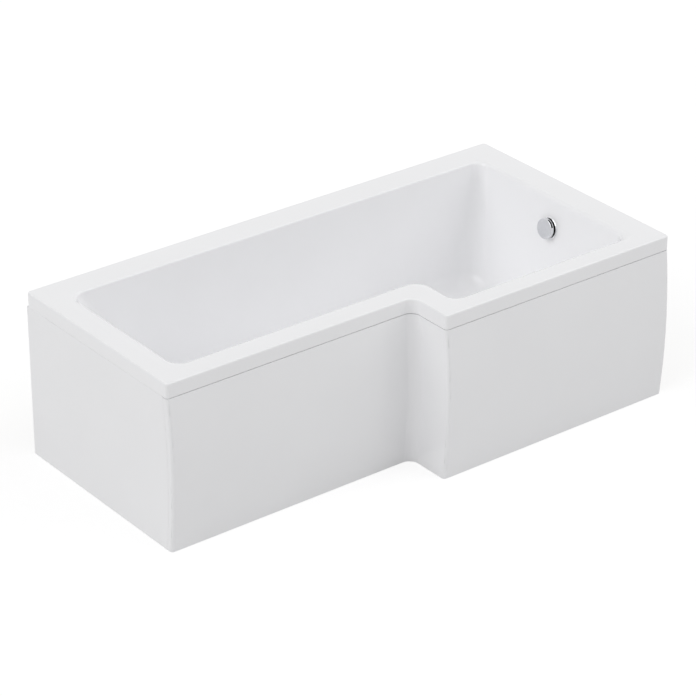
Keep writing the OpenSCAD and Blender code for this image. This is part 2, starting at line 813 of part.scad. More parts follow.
module lever_pin() {
    color("silver")
        translate([waste_x - lever_arm, waste_y - body_r - 5, lever_z])
            rotate([-90, 0, 0]) cylinder(r = 1.5, h = body_r + 29);
}

// ---------- hose and cable, from the overflow down to the waste ----------
bend_r = 100;
hose_drop = outlet_z - inlet_z - bend_r;
hose_bend = bend_r * PI / 2;
hose_run = outlet_x - bend_r - inlet_x;
hose_l = hose_drop + hose_bend + hose_run;
hose_root_r = 14.8;
hose_crest_r = 17;
hose_bore = 12.6;
cuff_l = 34;

// Point and direction at a distance along a drop, a quarter bend and a level run in the XZ plane.
function route_angle(s, drop, bend) = 90 * min(max((s - drop) / bend, 0), 1);
function route_x(s, drop, r, x0) =
    let (bend = r * PI / 2, a = route_angle(s, drop, bend))
    x0 - r * (1 - cos(a)) - max(s - drop - bend, 0);
function route_z(s, drop, r, z0) =
    let (bend = r * PI / 2, a = route_angle(s, drop, bend))
    z0 - min(s, drop) - r * sin(a);

module tube(stations, bores, x0, y0, z0, drop, r, sides) {
    // stations and bores are [distance, radius] lists from one end to the other.
    loop = concat(stations, reversed(bores));
    n = len(loop);
    function p(s, t, k) =
        let (a = route_angle(s, drop, r * PI / 2), b = 360 * k / sides)
        [
            route_x(s, drop, r, x0) + t * cos(b) * cos(a),
            y0 + t * sin(b),
            route_z(s, drop, r, z0) + t * cos(b) * sin(a)
        ];
    polyhedron(
        points = [for (q = loop, k = [0:sides - 1]) p(q[0], q[1], k)],
        faces = [
            for (i = [0:n - 1], k = [0:sides - 1], h = [0, 1])
                let (i2 = (i + 1) % n, k2 = (k + 1) % sides)
                h == 0 ? [i * sides + k, i * sides + k2, i2 * sides + k2]
                : [i * sides + k, i2 * sides + k2, i2 * sides + k]
        ],
        convexity = 8
    );
}

rib_pitch = (hose_l - 2 * cuff_l) / hose_ribs;
module overflow_hose() {
    crests = [for (i = [0:hose_ribs - 1], h = [0.3, 0.8])
        [cuff_l + (i + h) * rib_pitch, h == 0.3 ? hose_crest_r : hose_root_r]];
    bore_rings = 36;
    color("lightgray")
        tube(
            concat(
                [[e, pipe_r], [cuff_l, pipe_r]],
                crests,
                [[hose_l - cuff_l, pipe_r], [hose_l - e, pipe_r]]
            ),
            [for (i = [0:bore_rings]) [e + (hose_l - 2 * e) * i / bore_rings, hose_bore]],
            outlet_x, waste_y, outlet_z, hose_drop, bend_r, 8
        );
}

// Compression nuts over both joints of the hose.
module hose_nut() {
    difference() {
        union() {
            rotate_extrude() polygon([[16.2, -12], [20, -12], [21, -11], [21, 11], [20, 12], [16.2, 12]]);
            for (a = [0:30:330]) rotate([0, 0, a]) translate([20.4, -1.5, -9]) cube([1.6, 3, 18]);
        }
        translate([0, 0, -20]) cylinder(r = 16.2, h = 40);
    }
}

module hose_nuts() {
    color("white") {
        translate([outlet_x, waste_y, outlet_z]) hose_nut();
        translate([inlet_x, waste_y, inlet_z]) rotate([0, 90, 0]) hose_nut();
    }
}

cable_r = 2.5;
cable_y = waste_y + 26;
cable_x = outlet_x;
cable_top_z = overflow_z - 34;
cable_bend_r = 110;
cable_end_x = waste_x + 42;
module lift_cable() {
    drop = cable_top_z - inlet_z - cable_bend_r;
    run = cable_x - cable_bend_r - cable_end_x;
    total = drop + cable_bend_r * PI / 2 + run;
    rings = 44;
    color("dimgray")
        tube(
            [for (i = [0:rings]) [e + (total - 2 * e) * i / rings, cable_r]],
            [for (i = [0:rings]) [e + (total - 2 * e) * i / rings, 1]],
            cable_x, cable_y, cable_top_z, drop, cable_bend_r, 8
        );
}

bath_shell();
base_board();
rim_batten_back();
rim_batten_tap_end();
rim_batten_head_end();
rim_batten_narrow_front();
rim_batten_wide_front();
cross_rail(0);  // cross_rail_1
cross_rail(1);  // cross_rail_2
cross_rail(2);  // cross_rail_3
centre_plate();
rail_screws();
leg_nuts();
foot(0);  // foot_1
foot(1);  // foot_2
foot(2);  // foot_3
foot(3);  // foot_4
foot(4);  // foot_5
foot(5);  // foot_6
foot(6);  // foot_7
stud(0);  // stud_1
stud(1);  // stud_2
stud(2);  // stud_3
stud(3);  // stud_4
stud(4);  // stud_5
stud(5);  // stud_6
stud(6);  // stud_7
at_bracket(0) wall_bracket();  // wall_bracket_1
at_bracket(1) wall_bracket();  // wall_bracket_2
at_bracket(2) wall_bracket();  // wall_bracket_3
at_bracket(3) wall_bracket();  // wall_bracket_4
bracket_screws();
front_panel();
end_panel();
panel_top_clips();
panel_floor_clips();
floor_batten_narrow();
floor_batten_wide();
floor_batten_head_end();
overflow_knob();
overflow_ring();
overflow_seal();
overflow_body();
overflow_hose();
hose_nuts();
lift_cable();
waste_flange();
waste_seal();
waste_body();
waste_plug();
plug_seal();
lift_lever();
lever_pin();
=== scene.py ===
# %% [markdown]
# # A stepped shower bath in white acrylic
#
# The bath has a wide standing end and a narrow reclining end. A bowed front panel and a flat end panel
# close it in, and behind them it stands on steel rails with levelling feet. The construction comes
# ready made as a fixed frame of pieces at their real size. This script gives every piece its finish,
# and models again the few whose form is finer than the frame's: the moulded shell, the end panel, the
# overflow knob, the ribbed hose and the cable. Everything is in metres, +Z is up, and the wall side of
# the bath faces +Y.

import json
from math import atan2, cos, degrees, pi, radians, sin, tan

import bmesh
import bpy
from mathutils import Matrix, Vector


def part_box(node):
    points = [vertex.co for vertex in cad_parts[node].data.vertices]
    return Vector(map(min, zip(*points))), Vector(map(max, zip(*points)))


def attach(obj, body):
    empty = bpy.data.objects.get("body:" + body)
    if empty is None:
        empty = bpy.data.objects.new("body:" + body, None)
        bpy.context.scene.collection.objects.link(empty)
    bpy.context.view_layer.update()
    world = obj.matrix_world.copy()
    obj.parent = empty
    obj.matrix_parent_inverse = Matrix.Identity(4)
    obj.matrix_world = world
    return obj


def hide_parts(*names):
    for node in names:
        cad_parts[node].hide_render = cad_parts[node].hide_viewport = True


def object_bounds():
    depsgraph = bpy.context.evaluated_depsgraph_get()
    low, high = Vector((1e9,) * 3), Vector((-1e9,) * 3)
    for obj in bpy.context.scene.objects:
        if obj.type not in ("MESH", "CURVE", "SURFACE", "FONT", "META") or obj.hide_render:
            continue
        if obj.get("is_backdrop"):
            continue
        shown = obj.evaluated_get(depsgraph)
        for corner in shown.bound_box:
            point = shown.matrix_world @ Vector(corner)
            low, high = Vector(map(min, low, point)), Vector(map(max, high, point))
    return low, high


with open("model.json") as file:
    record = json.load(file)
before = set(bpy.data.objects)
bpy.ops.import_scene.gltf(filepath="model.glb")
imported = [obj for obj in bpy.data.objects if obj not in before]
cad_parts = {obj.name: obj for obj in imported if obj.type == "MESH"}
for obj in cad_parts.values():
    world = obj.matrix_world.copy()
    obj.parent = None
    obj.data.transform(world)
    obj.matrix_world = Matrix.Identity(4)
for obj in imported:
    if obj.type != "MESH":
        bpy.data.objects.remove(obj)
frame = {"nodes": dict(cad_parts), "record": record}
cad_low, cad_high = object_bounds()
NODES = frame["nodes"]
MM = 0.001
print("the bath measures", [round(side, 3) for side in cad_high - cad_low], "m")

# %% [markdown]
# ## Camera
#
# The bath is seen from far off with a long lens, from the left and well above, so its upright edges
# stay nearly parallel. The view was found by matching the bath's own corners, which lie at known
# places, to where they are seen. A camera is easiest to place as a photographer says it: the point it
# looks at, the angle round that point, the angle above the floor and the distance.

# %% Place the camera
AIM = Vector((-0.019, 0.009, 0.257))
AZIMUTH = radians(-37.71)
ELEVATION = radians(27.90)
DISTANCE = 8.916
LENS_MM = 156.9
SENSOR_MM = 36.0
FAR_CLIP = 100


def direction(azimuth, elevation):
    """Unit vector from the object towards a viewer or a lamp. Azimuth 0 is the front, -Y."""
    return Vector((sin(azimuth) * cos(elevation), -cos(azimuth) * cos(elevation), sin(elevation)))


def look_from(obj, target, towards, distance):
    """Puts a camera or lamp at a distance from its target and turns it to face it."""
    obj.location = target + towards * distance
    obj.rotation_euler = (-towards).to_track_quat("-Z", "Y").to_euler()


camera_data = bpy.data.cameras.new("camera")
camera_data.sensor_width = SENSOR_MM
camera_data.lens = LENS_MM
camera_data.clip_end = FAR_CLIP
camera = bpy.data.objects.new("camera", camera_data)
bpy.context.scene.collection.objects.link(camera)
look_from(camera, AIM, direction(AZIMUTH, ELEVATION), DISTANCE)
bpy.context.scene.camera = camera
print("camera at", [round(c, 2) for c in camera.location])

# %% [markdown]
# ## Light, background and floor
#
# A white bath on white is all about how much light each side gets. The top gets most, the left end
# some less and the front least. That takes an even sky and three large soft lights: one low on the
# left, one from the front right, whose light the step keeps off the panel beside it, and a weak one
# from beyond the tap end. Lamps with a wide surface could do it, but near lamps light a long object
# unevenly, so these are suns with a wide disc. The sky is a dim grey for lighting, but where a camera
# or a mirror looks at it, it is plain white. The floor does the same: part of what is seen of it is
# its own even glow, so it blends into the white background, and the rest is lit, so it still holds
# the bath's shadow. From below the floor lets the camera through, so the underside can be looked at.

# %% Set the sky and the three soft lights
SKY_STRENGTH = 0.508
# Each light: its name, power, azimuth and elevation.
LIGHTS = (
    ("left_light", 0.916, -90, 35),
    ("right_light", 0.620, 45, 40),
    ("tap_end_light", 0.297, 90, 30),
)
LIGHT_DISC = radians(50)
LIGHT_DISTANCE = 5

scene = bpy.context.scene
scene.view_settings.view_transform = "Standard"


def seen_directly(tree):
    """1 for camera, mirror and glass rays, which see the background, and 0 for rays that only light."""
    path = tree.nodes.new("ShaderNodeLightPath")
    total = path.outputs["Is Camera Ray"]
    for name in ("Is Glossy Ray", "Is Transmission Ray"):
        larger = tree.nodes.new("ShaderNodeMath")
        larger.operation = "MAXIMUM"
        tree.links.new(total, larger.inputs[0])
        tree.links.new(path.outputs[name], larger.inputs[1])
        total = larger.outputs[0]
    return total


def mix_shaders(tree, factor, first, second):
    """A mix that shows the first shader at factor 0 and the second at factor 1."""
    mix = tree.nodes.new("ShaderNodeMixShader")
    tree.links.new(factor, mix.inputs[0])
    tree.links.new(first, mix.inputs[1])
    tree.links.new(second, mix.inputs[2])
    return mix.outputs[0]


sky = bpy.data.worlds.new("studio_sky")
sky.use_nodes = True
scene.world = sky
sky_tree = sky.node_tree
lighting = sky_tree.nodes["Background"]
lighting.inputs["Color"].default_value = (1, 1, 1, 1)
lighting.inputs["Strength"].default_value = SKY_STRENGTH
backdrop = sky_tree.nodes.new("ShaderNodeBackground")
backdrop.inputs["Color"].default_value = (1, 1, 1, 1)
backdrop.inputs["Strength"].default_value = 1.0
sky_tree.links.new(
    mix_shaders(sky_tree, seen_directly(sky_tree), lighting.outputs[0], backdrop.outputs[0]),
    sky_tree.nodes["World Output"].inputs["Surface"],
)

for name, power, azimuth, elevation in LIGHTS:
    light_data = bpy.data.lights.new(name, "SUN")
    light_data.energy = power
    light_data.angle = LIGHT_DISC
    light = bpy.data.objects.new(name, light_data)
    scene.collection.objects.link(light)
    look_from(light, AIM, direction(radians(azimuth), radians(elevation)), LIGHT_DISTANCE)
    print(name, "at", [round(c, 2) for c in light.location])

# %% Lay the floor
FLOOR_SIDE = 60
FLOOR_DROP = 0.2 * MM
# What is seen of the floor is part lit and part glow. What lights the bath is its bounce.
FLOOR_LIT = 0.34
FLOOR_GLOW = 0.74
FLOOR_BOUNCE = 0.65

bm = bmesh.new()
bmesh.ops.create_grid(bm, x_segments=1, y_segments=1, size=FLOOR_SIDE / 2)
floor_mesh = bpy.data.meshes.new("floor")
bm.to_mesh(floor_mesh)
bm.free()
floor = bpy.data.objects.new("floor", floor_mesh)
floor.location.z = -FLOOR_DROP
scene.collection.objects.link(floor)

floor_finish = bpy.data.materials.new("pale_floor")
floor_finish.use_nodes = True
tree = floor_finish.node_tree
tree.nodes.clear()
bounce = tree.nodes.new("ShaderNodeBsdfDiffuse")
bounce.inputs["Color"].default_value = (FLOOR_BOUNCE, FLOOR_BOUNCE, FLOOR_BOUNCE, 1)
lit = tree.nodes.new("ShaderNodeBsdfDiffuse")
lit.inputs["Color"].default_value = (FLOOR_LIT, FLOOR_LIT, FLOOR_LIT, 1)
glow = tree.nodes.new("ShaderNodeEmission")
glow.inputs["Strength"].default_value = FLOOR_GLOW
both = tree.nodes.new("ShaderNodeAddShader")
tree.links.new(lit.outputs[0], both.inputs[0])
tree.links.new(glow.outputs[0], both.inputs[1])
above = mix_shaders(tree, seen_directly(tree), bounce.outputs[0], both.outputs[0])
geometry = tree.nodes.new("ShaderNodeNewGeometry")
clear = tree.nodes.new("ShaderNodeBsdfTransparent")
output = tree.nodes.new("ShaderNodeOutputMaterial")
tree.links.new(
    mix_shaders(tree, geometry.outputs["Backfacing"], above, clear.outputs[0]),
    output.inputs["Surface"],
)
floor_mesh.materials.append(floor_finish)
floor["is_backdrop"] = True
print("floor:", FLOOR_SIDE, "m across")

# %% [markdown]
# ## Finishes
#
# Every finish starts from the same shader with a colour, a roughness and a share of metal. What makes
# it look real is that none of these is quite even: a noise or a cell pattern moves the colour and the
# roughness a little, and a fine pattern tilts the surface as a bump. The patterns sit in object
# coordinates, which are metres here, so a scale of 100 makes features about 10 mm wide.

# %% Helpers for finishes
# Most of a pattern's values lie in this range.
PATTERN_RANGE = (0.3, 0.7)


class Finish:
    """A principled material whose colour, roughness and bump can follow patterns."""

    def __init__(self, name, colour, roughness, metal=0.0):
        self.material = bpy.data.materials.new(name)
        self.material.use_nodes = True
        self.tree = self.material.node_tree
        self.shader = self.tree.nodes["Principled BSDF"]
        self.shader.inputs["Base Color"].default_value = (*colour, 1)
        self.shader.inputs["Roughness"].default_value = roughness
        self.shader.inputs["Metallic"].default_value = metal
        self.material.diffuse_color = (*colour, 1)
        self.coordinates = self.tree.nodes.new("ShaderNodeTexCoord").outputs["Object"]
        self.normal = None

    def placed(self, stretch=(1, 1, 1), turn=(0, 0, 0)):
        """Object coordinates, turned in degrees and then scaled along the turned axes."""
        mapping = self.tree.nodes.new("ShaderNodeMapping")
        mapping.vector_type = "TEXTURE"
        mapping.inputs["Scale"].default_value = [1 / s for s in stretch]
        mapping.inputs["Rotation"].default_value = [radians(a) for a in turn]
        self.tree.links.new(self.coordinates, mapping.inputs["Vector"])
        return mapping.outputs[0]

    def noise(self, scale, detail, distortion=0.0, vector=None):
        """A cloudy pattern from 0 to 1."""
        node = self.tree.nodes.new("ShaderNodeTexNoise")
        node.inputs["Scale"].default_value = scale
        node.inputs["Detail"].default_value = detail
        node.inputs["Distortion"].default_value = distortion
        self.tree.links.new(vector or self.coordinates, node.inputs["Vector"])
        return node.outputs["Fac"]

    def cells(self, scale, output="Color", vector=None):
        """A pattern of cells, with one random value in each, or with the distance to their middles."""
        node = self.tree.nodes.new("ShaderNodeTexVoronoi")
        node.inputs["Scale"].default_value = scale
        self.tree.links.new(vector or self.coordinates, node.inputs["Vector"])
        return node.outputs[output]

    def colours(self, value, *stops):
        """Turns a pattern into colours: each stop is a position and a colour."""
        node = self.tree.nodes.new("ShaderNodeValToRGB")
        ramp = node.color_ramp
        while len(ramp.elements) < len(stops):
            ramp.elements.new(0.5)
        for element, (position, colour) in zip(ramp.elements, stops):
            element.position = position
            element.color = (*colour, 1)
        self.tree.links.new(value, node.inputs["Fac"])
        self.tree.links.new(node.outputs["Color"], self.shader.inputs["Base Color"])

    def rough(self, value, low, high):
        """Lets the roughness follow a pattern, whose middle range is mapped onto low to high."""
        node = self.tree.nodes.new("ShaderNodeMapRange")
        sockets = ("From Min", "From Max", "To Min", "To Max")
        for socket, limit in zip(sockets, (*PATTERN_RANGE, low, high)):
            node.inputs[socket].default_value = limit
        self.tree.links.new(value, node.inputs["Value"])
        self.tree.links.new(node.outputs["Result"], self.shader.inputs["Roughness"])

    def bump(self, value, depth, strength):
        """Adds relief of about this depth in metres, on top of any relief added before."""
        node = self.tree.nodes.new("ShaderNodeBump")
        node.inputs["Distance"].default_value = depth
        node.inputs["Strength"].default_value = strength
        self.tree.links.new(value, node.inputs["Height"])
        if self.normal:
            self.tree.links.new(self.normal, node.inputs["Normal"])
        self.normal = node.outputs["Normal"]
        self.tree.links.new(self.normal, self.shader.inputs["Normal"])

    def set(self, **values):
        """Sets sockets of the shader that are the same all over, such as ior=1.49."""
        for name, value in values.items():
            socket = name.replace("_", " ").title().replace("Ior", "IOR")
            self.shader.inputs[socket].default_value = value
        return self


def shade(colour, factor):
    """The same colour, lighter or darker."""
    return tuple(min(1.0, c * factor) for c in colour)


# %% [markdown]
# ### White acrylic
#
# Cast acrylic is white all the way through, with a hard clear gloss. Drawn over a mould, it keeps a
# very faint long-wave unevenness, which breaks up reflections, and its gloss varies a little. So the
# colour hardly changes, the roughness wanders by a few hundredths and the bump stays under a quarter
# of a millimetre. A plain white would be simpler, but it looks like no material at all. The sheet of
# the panels is the same stuff, only flatter.

# %% Make the acrylics
ACRYLIC = (0.963, 0.964, 0.977)
ACRYLIC_IOR = 1.49


def acrylic(name, colour, wave_depth):
    """White gloss plastic with a faint waviness of the given depth."""
    finish = Finish(name, colour, roughness=0.12)
    cloud = finish.noise(scale=4, detail=3)
    finish.colours(cloud, (0.35, shade(colour, 0.992)), (0.65, shade(colour, 1.004)))
    finish.rough(finish.noise(scale=22, detail=3), low=0.10, high=0.17)
    finish.bump(finish.noise(scale=14, detail=1), wave_depth, strength=0.35)
    finish.bump(finish.noise(scale=420, detail=1), depth=0.01 * MM, strength=0.2)
    return finish.set(ior=ACRYLIC_IOR).material


shell_acrylic = acrylic("gloss_acrylic", ACRYLIC, 0.25 * MM)
panel_acrylic = acrylic("panel_acrylic", shade(ACRYLIC, 0.985), 0.12 * MM)
print("acrylics:", shell_acrylic.name, panel_acrylic.name)

# %% [markdown]
# ### Sprayed backing of glass fibre
#
# The shell is backed with resin and short strands of glass, rolled flat by hand. It cures to a pale,
# slightly yellow skin in which the strands still show as fine straight lines lying in all directions.
# Three stretched cell patterns, each turned another way, give those strands, and a coarse noise the
# lumps left by the roller.

# %% Make the backing
STRAND_TURNS = (12, 71, 133)
STRAND_STRETCH = (0.16, 2.2, 0.9)

backing = Finish("glass_fibre_backing", (0.74, 0.73, 0.64), roughness=0.4)
strands = None
for turn in STRAND_TURNS:
    laid = backing.placed(STRAND_STRETCH, (turn, turn / 2, turn))
    layer = backing.cells(90, "Distance", laid)
    if strands is None:
        strands = layer
    else:
        least = backing.tree.nodes.new("ShaderNodeMath")
        least.operation = "MINIMUM"
        backing.tree.links.new(strands, least.inputs[0])
        backing.tree.links.new(layer, least.inputs[1])
        strands = least.outputs[0]
backing.colours(strands, (0.02, (0.88, 0.87, 0.82)), (0.12, (0.82, 0.81, 0.74)), (0.4, (0.74, 0.725, 0.64)))
backing.rough(backing.noise(scale=60, detail=3), low=0.28, high=0.5)
backing.bump(backing.noise(scale=45, detail=4), depth=1.2 * MM, strength=0.6)
backing.bump(strands, depth=0.3 * MM, strength=0.5)
print("backing:", len(STRAND_TURNS), "layers of strands")

# %% [markdown]
# ### Board, softwood and steel
#
# The chipboard is pressed chips, so it is a cell pattern in wood tones, dulled by the thin resin that
# was sprayed over it. The battens are planed softwood, whose grain runs along each piece: the same
# noise, drawn out to about seventeen times its length along the batten. The rails and brackets are
# zinc-coated steel with a faint spangle of large crystals, drawn as cells that differ only a little
# in tone and gloss.

# %% Make the board and the timbers
board = Finish("chipboard", (0.62, 0.52, 0.38), roughness=0.55)
chips = board.cells(scale=210, vector=board.placed(stretch=(1, 0.45, 1), turn=(0, 0, 30)))
board.colours(chips, (0.1, (0.42, 0.31, 0.19)), (0.5, (0.60, 0.48, 0.33)), (0.9, (0.74, 0.64, 0.47)))
board.rough(board.noise(scale=30, detail=4), low=0.35, high=0.7)
board.bump(chips, depth=0.2 * MM, strength=0.5)


def softwood(name, stretch):
    """Planed softwood with its grain along the axis whose stretch is smallest."""
    finish = Finish(name, (0.66, 0.50, 0.32), roughness=0.55)
    along = finish.placed(stretch)
    grain = finish.noise(scale=60, detail=5, distortion=0.6, vector=along)
    finish.colours(grain, (0.3, (0.52, 0.35, 0.19)), (0.5, (0.69, 0.52, 0.33)), (0.7, (0.78, 0.63, 0.43)))
    finish.rough(finish.noise(scale=150, detail=3, vector=along), low=0.5, high=0.72)
    finish.bump(grain, depth=0.15 * MM, strength=0.6)
    return finish.material


timber_along_x = softwood("softwood_along_x", (0.06, 1, 1))
timber_along_y = softwood("softwood_along_y", (1, 0.06, 1))


def plated_steel(name, colour, roughness, crystals):
    """Zinc-coated steel whose crystals are about 1 / crystals metres across."""
    finish = Finish(name, colour, roughness, metal=1.0)
    spangle = finish.cells(crystals)
    finish.colours(spangle, (0.1, shade(colour, 0.86)), (0.9, shade(colour, 1.1)))
    finish.rough(spangle, roughness - 0.07, roughness + 0.1)
    finish.bump(finish.noise(scale=500, detail=2), depth=0.03 * MM, strength=0.4)
    return finish.material


zinc_steel = plated_steel("zinc_coated_steel", (0.62, 0.63, 0.65), 0.36, 75)
stud_steel = plated_steel("zinc_plated_thread", (0.58, 0.58, 0.60), 0.30, 260)
screw_brass = plated_steel("yellow_passivated_screw", (0.68, 0.58, 0.32), 0.30, 400)
print("steels:", zinc_steel.name, stud_steel.name, screw_brass.name)

# %% [markdown]
# ### Chrome, rubber and moulded plastics
#
# Polished chrome is nearly a mirror: its look comes from what stands round it, and only a breath of
# uneven roughness keeps it from looking drawn. The plastics differ in gloss and in the fine grain that
# the mould leaves on them, and the rubber is dull and slightly mottled.

# %% Make the chrome, rubber and plastics
chrome = Finish("polished_chrome", (0.77, 0.78, 0.80), roughness=0.05, metal=1.0)
chrome.rough(chrome.noise(scale=35, detail=4), low=0.03, high=0.08)
chrome.colours(chrome.noise(scale=60, detail=2), (0.3, (0.75, 0.76, 0.78)), (0.7, (0.79, 0.80, 0.82)))


def moulded(name, colour, roughness, grain_scale, grain_depth, mottle, shine=0.5):
    """Plastic or rubber with the fine grain of its mould. A shine of 0.5 is that of most plastics."""
    finish = Finish(name, colour, roughness)
    cloud = finish.noise(scale=40, detail=3)
    finish.colours(cloud, (0.3, shade(colour, 1 - mottle)), (0.7, shade(colour, 1 + mottle)))
    finish.rough(cloud, roughness - 0.06, roughness + 0.08)
    finish.bump(finish.noise(grain_scale, detail=2), grain_depth, strength=0.5)
    return finish.set(specular_ior_level=shine).material


# Each moulded finish: its name, colour, roughness, scale and depth of the grain, mottling and shine.
FINISHES = {
    "acrylic": shell_acrylic,
    "panel_acrylic": panel_acrylic,
    "board": board.material,
    "zinc_steel": zinc_steel,
    "stud_steel": stud_steel,
    "screw_brass": screw_brass,
    "chrome": chrome.material,
    "foot_plastic": moulded("black_foot_plastic", (0.035, 0.035, 0.038), 0.48, 900, 0.06 * MM, 0.15),
    # Near black with almost no shine: on the overflow knob this paints the shade under the cap and a dark
    # reflection in the slot.
    "black_plastic": moulded("black_nylon_painted_shade", (0.004, 0.004, 0.0045), 0.5, 900, 0.03 * MM, 0.15, 0.05),
    "seal_rubber": moulded("black_rubber", (0.028, 0.028, 0.028), 0.72, 700, 0.05 * MM, 0.2),
    "white_plastic": moulded("white_plastic", (0.80, 0.80, 0.78), 0.38, 800, 0.03 * MM, 0.02),
    "cable_sheath": moulded("cable_sheath", (0.10, 0.10, 0.11), 0.42, 900, 0.02 * MM, 0.12),
    "lever_plastic": moulded("orange_plastic", (0.75, 0.35, 0.10), 0.40, 800, 0.03 * MM, 0.05),
}
print("finishes:", ", ".join(FINISHES))

# %% [markdown]
# ### Handing out the finishes
#
# In a workshop every piece comes with the finish that its drawing names. The frame's record does the
# same: it names a slot for each piece, so one loop serves them all and no piece can be forgotten. Only
# the battens need a look at the piece itself, because the grain runs along each of them.

# %% Give every piece of the frame its finish
ALONG_Y = ("rim_batten_tap_end", "rim_batten_head_end", "floor_batten_head_end")
for part in frame["record"]["subparts"]:
    name = part["node"]
    slot = part["material_slot"]
    if slot == "timber":
        finish = timber_along_y if name in ALONG_Y else timber_along_x
    else:
        finish = FINISHES[slot]
    for material_slot in NODES[name].material_slots:
        material_slot.material = finish
print(len(NODES), "pieces have their finish")

# %% [markdown]
# ## The moulded shell
#
# A bath is one sheet, drawn down over a mould, so every one of its curves runs into the next: the
# turned-down lip, the rounded edge, the flat of the rim, the roll into the basin, the leaning wall and
# the fillet to the floor. It could be pushed about from a box with a bevel on every edge, but the
# corners of this basin open from tight at the rim to wide at the floor, which no bevel does. So it is
# grown ring by ring: a closed outline with six rounded corners is extruded along the section of the
# mould, and each new ring is put in its place by the same rule. Each side of the basin has its own
# flat, roll, lean and fillet, and round a corner one passes into the other.

# %% The stepped outline
CORNER_STEPS = 18
shell_low, shell_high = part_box("bath_shell")
NARROW_W = 700 * MM
WIDE_L = 850 * MM
HEAD_X = shell_low.x
TAP_X = shell_high.x
STEP_X = TAP_X - WIDE_L
WIDE_Y = shell_low.y
BACK_Y = shell_high.y
NARROW_Y = BACK_Y - NARROW_W
RIM_Z = shell_high.z

# An outline is six edges, in this order, and a radius for each of the corners between them.
SIDES = 6
HEAD_END, NARROW_FRONT, STEP, WIDE_FRONT, TAP_END, BACK = range(SIDES)
OUTER_EDGES = (HEAD_X, NARROW_Y, STEP_X, WIDE_Y, TAP_X, BACK_Y)
OUTER_RADII = [r * MM for r in (10, 32, 10, 10, 12, 12)]
INWARD = (1, 1, 1, 1, -1, -1)
# Every corner: its two edges, each with the way its centre lies from it, and the angle at which its arc
# starts and how far it turns. The second corner is the re-entrant one.
CORNERS = (
    (HEAD_END, 1, NARROW_FRONT, 1, 180, 90),
    (STEP, -1, NARROW_FRONT, -1, 90, -90),
    (STEP, 1, WIDE_FRONT, 1, 180, 90),
    (TAP_END, -1, WIDE_FRONT, 1, 270, 90),
    (TAP_END, -1, BACK, -1, 0, 90),
    (HEAD_END, 1, BACK, -1, 90, 90),
)
REENTRANT = 1


class Outline:
    """A ring's six edges, six corner radii and the height along each edge."""

    def __init__(self, edges, radii, heights):
        self.edges = edges
        self.radii = radii
        self.heights = heights

    def point(self, corner, part):
        """The point a part of the way round a corner."""
        x_edge, x_side, y_edge, y_side, start, turn = CORNERS[corner]
        r = self.radii[corner]
        angle = radians(start + turn * part)
        before, after = self.heights[corner], self.heights[(corner + 1) % SIDES]
        return Vector((
            self.edges[x_edge] + r * (x_side + cos(angle)),
            self.edges[y_edge] + r * (y_side + sin(angle)),
            before + (after - before) * part,
        ))


def inset_outline(depth, z):
    """The rim's outer outline, moved inwards by a depth, all at one height."""
    edges = [edge + depth * side for edge, side in zip(OUTER_EDGES, INWARD)]
    radii = [r + depth if i == REENTRANT else max(r - depth, MM) for i, r in enumerate(OUTER_RADII)]
    return Outline(edges, radii, [z] * SIDES)


print("step at x", round(STEP_X, 3), "narrow front at y", round(NARROW_Y, 3))

# %% [markdown]
# Each side's section is drawn as pairs of how far in and how high. The roll is an arc about a point
# below the rim, the wall is straight, and the fillet is an arc about a point above the floor. The back
# of the sheet follows the same arcs at the sheet's thickness further out. The floor falls towards the
# waste, so the inside is lifted more, the deeper it is and the further from the tap end.

# %% The section of the basin
SHELL_T = 6 * MM
BASIN_D = 400 * MM
LIP_H = 46 * MM
EDGE_R = 5 * MM
FLOOR_Z = RIM_Z - BASIN_D
LIP_Z = RIM_Z - LIP_H
UNDER_RIM_Z = RIM_Z - SHELL_T
LAND = [u * MM for u in (73, 62, 69, 52, 85, 92)]
ROLL_R = [r * MM for r in (14, 25, 20, 25, 16, 6)]
LEAN = [radians(a) for a in (25, 5, 5, 5, 8, 5)]
FILLET_R = [r * MM for r in (110, 70, 60, 70, 60, 70)]
TOP_RADII = [r * MM for r in (45, 45, 40, 40, 32, 45)]
FLOOR_RADII = [r * MM for r in (110, 55, 100, 90, 80, 110)]
LEAST_ROLL = 2 * MM
ROLL_STEPS = 20
FILLET_STEPS = 16
FALL = 5 * MM
FALL_END_X = TAP_X - LAND[TAP_END] - 120 * MM
FALL_START_X = HEAD_X + LAND[HEAD_END]


def section(roll, lean, fillet, top, bottom):
    """Roll, leaning wall and fillet of one side, as pairs of inward distance and height."""
    wall_u = roll * cos(lean)
    wall_z = top - roll * (1 - sin(lean))
    foot_z = bottom + fillet * (1 - sin(lean))
    foot_u = wall_u + (wall_z - foot_z) * tan(lean)
    arc = pi / 2 - lean
    points = []
    for i in range(ROLL_STEPS + 1):
        t = arc * i / ROLL_STEPS
        points.append((roll * sin(t), top - roll + roll * cos(t)))
    points.append(((wall_u + foot_u) / 2, (wall_z + foot_z) / 2))
    for i in range(FILLET_STEPS + 1):
        t = arc * (1 - i / FILLET_STEPS)
        points.append((foot_u + fillet * (cos(lean) - sin(t)), bottom + fillet * (1 - cos(t))))
    return points


